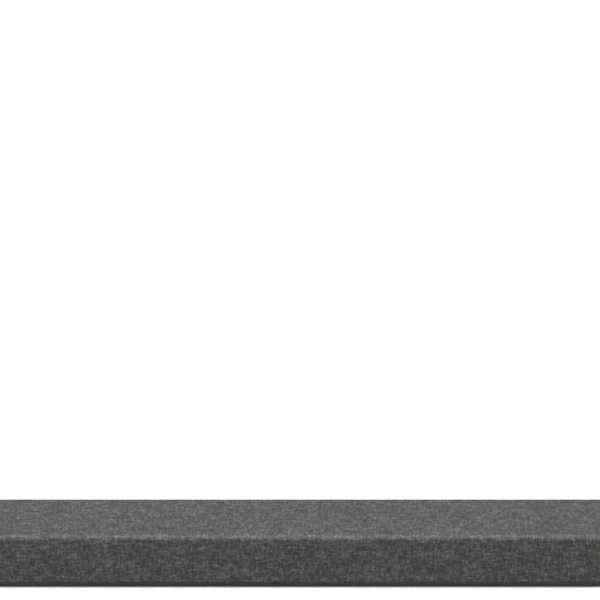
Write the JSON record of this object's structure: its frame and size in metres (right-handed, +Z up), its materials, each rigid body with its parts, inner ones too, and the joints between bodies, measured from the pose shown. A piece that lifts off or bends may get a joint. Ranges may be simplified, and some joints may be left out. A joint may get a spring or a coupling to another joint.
{
  "type": "soundbar",
  "caption": "Long low soundbar wrapped in grey cloth, with plastic end caps, side buttons, rear bass ports and a recessed socket bay.",
  "frame": {"origin": "floor level under the middle of the bar, at the underside of the feet", "axes": "+X along the bar to the right seen from the front, -Y out of the front cloth, +Z up"},
  "size_m": [0.9, 0.092, 0.06],
  "materials": {
    "shell_plastic": "fine moulded grain",
    "inner_plastic": "moulded",
    "grille_cloth": "stretched heathered weave",
    "basket_metal": "black paint",
    "magnet_ferrite": "sintered",
    "cone_paper": "pressed paper",
    "surround_rubber": "satin",
    "spider_cloth": "resin-stiffened cloth",
    "gasket_foam": "closed-cell foam",
    "plain_steel": "zinc plated",
    "black_steel": "black oxide",
    "board_green": "solder resist",
    "board_blue": "solder resist",
    "bare_aluminium": "extruded",
    "transformer_tape": "wound tape",
    "window_plastic": "smoked acrylic",
    "socket_plastic": "moulded",
    "shutter_plastic": "moulded",
    "socket_metal": "nickel plated",
    "button_rubber": "satin",
    "foot_rubber": "matte",
    "insert_brass": "knurled",
    "wire_red": "sleeved",
    "ribbon_grey": "flat flex",
    "label_film": "blank film"
  },
  "bodies": {
    "bar": {"aux_socket": "socket_plastic", "back_panel_left": "shell_plastic", "back_panel_middle": "shell_plastic", "back_panel_right": "shell_plastic", "baffle_left": "inner_plastic", "baffle_right": "inner_plastic", "bass_port_left": "inner_plastic", "bass_port_right": "inner_plastic", "bottom_pan": "shell_plastic", "button_board": "board_green", "display_board": "board_green", "display_window": "window_plastic", "driver_gaskets": "gasket_foam", "end_cap_left": "shell_plastic", "end_cap_right": "shell_plastic", "feet": "foot_rubber", "front_grille": "inner_plastic", "grille_cloth": "grille_cloth", "hdmi_socket": "socket_metal", "heat_sink": "bare_aluminium", "housing_screws": "black_steel", "jack_bay": "inner_plastic", "left_inner_basket": "basket_metal", "left_inner_magnet": "magnet_ferrite", "left_inner_surround": "surround_rubber", "left_outer_basket": "basket_metal", "left_outer_magnet": "magnet_ferrite", "left_outer_surround": "surround_rubber", "main_board": "board_green", "mains_bay": "inner_plastic", "mains_socket": "socket_plastic", "optical_socket": "socket_plastic", "power_board": "board_green", "rating_label": "label_film", "ribbon_cables": "ribbon_grey", "right_inner_basket": "basket_metal", "right_inner_magnet": "magnet_ferrite", "right_inner_surround": "surround_rubber", "right_outer_basket": "basket_metal", "right_outer_magnet": "magnet_ferrite", "right_outer_surround": "surround_rubber", "small_screws": "plain_steel", "speaker_box_left": "inner_plastic", "speaker_box_right": "inner_plastic", "speaker_wires": "wire_red", "spiders": "spider_cloth", "top_cover": "inner_plastic", "transformer": "transformer_tape", "usb_socket": "socket_metal", "wall_inserts": "insert_brass", "wireless_module": "board_blue"},
    "power_button_body": {"power_button": "button_rubber"},
    "source_button_body": {"source_button": "button_rubber"},
    "volume_down_button_body": {"volume_down_button": "button_rubber"},
    "volume_up_button_body": {"volume_up_button": "button_rubber"},
    "left_outer_cone_body": {"left_outer_cone": "cone_paper"},
    "left_inner_cone_body": {"left_inner_cone": "cone_paper"},
    "right_inner_cone_body": {"right_inner_cone": "cone_paper"},
    "right_outer_cone_body": {"right_outer_cone": "cone_paper"},
    "optical_shutter_body": {"optical_shutter": "shutter_plastic"}
  },
  "joints": [
    {"name": "power_button_press", "type": "slide", "parent": "bar", "child": "power_button_body", "axis": [-1, 0, 0], "range_m": [0, 0.0005], "stiffness_N_per_m": 2000},
    {"name": "source_button_press", "type": "slide", "parent": "bar", "child": "source_button_body", "axis": [-1, 0, 0], "range_m": [0, 0.0005], "stiffness_N_per_m": 2000},
    {"name": "volume_down_button_press", "type": "slide", "parent": "bar", "child": "volume_down_button_body", "axis": [-1, 0, 0], "range_m": [0, 0.0005], "stiffness_N_per_m": 2000},
    {"name": "volume_up_button_press", "type": "slide", "parent": "bar", "child": "volume_up_button_body", "axis": [-1, 0, 0], "range_m": [0, 0.0005], "stiffness_N_per_m": 2000},
    {"name": "left_outer_cone_stroke", "type": "slide", "parent": "bar", "child": "left_outer_cone_body", "axis": [0, -1, 0], "range_m": [-0.003, 0.003], "stiffness_N_per_m": 1000, "deforming": ["left_outer_surround", "spiders"]},
    {"name": "left_inner_cone_stroke", "type": "slide", "parent": "bar", "child": "left_inner_cone_body", "axis": [0, -1, 0], "range_m": [-0.003, 0.003], "stiffness_N_per_m": 1000, "deforming": ["left_inner_surround", "spiders"]},
    {"name": "right_inner_cone_stroke", "type": "slide", "parent": "bar", "child": "right_inner_cone_body", "axis": [0, -1, 0], "range_m": [-0.003, 0.003], "stiffness_N_per_m": 1000, "deforming": ["right_inner_surround", "spiders"]},
    {"name": "right_outer_cone_stroke", "type": "slide", "parent": "bar", "child": "right_outer_cone_body", "axis": [0, -1, 0], "range_m": [-0.003, 0.003], "stiffness_N_per_m": 1000, "deforming": ["right_outer_surround", "spiders"]},
    {"name": "optical_shutter_swing", "type": "hinge", "parent": "bar", "child": "optical_shutter_body", "pos_m": [0.08, 0.0233, 0.0234], "axis": [-1, 0, 0], "range_deg": [0, 85], "stiffness_Nm_per_rad": 0.0005}
  ]
}
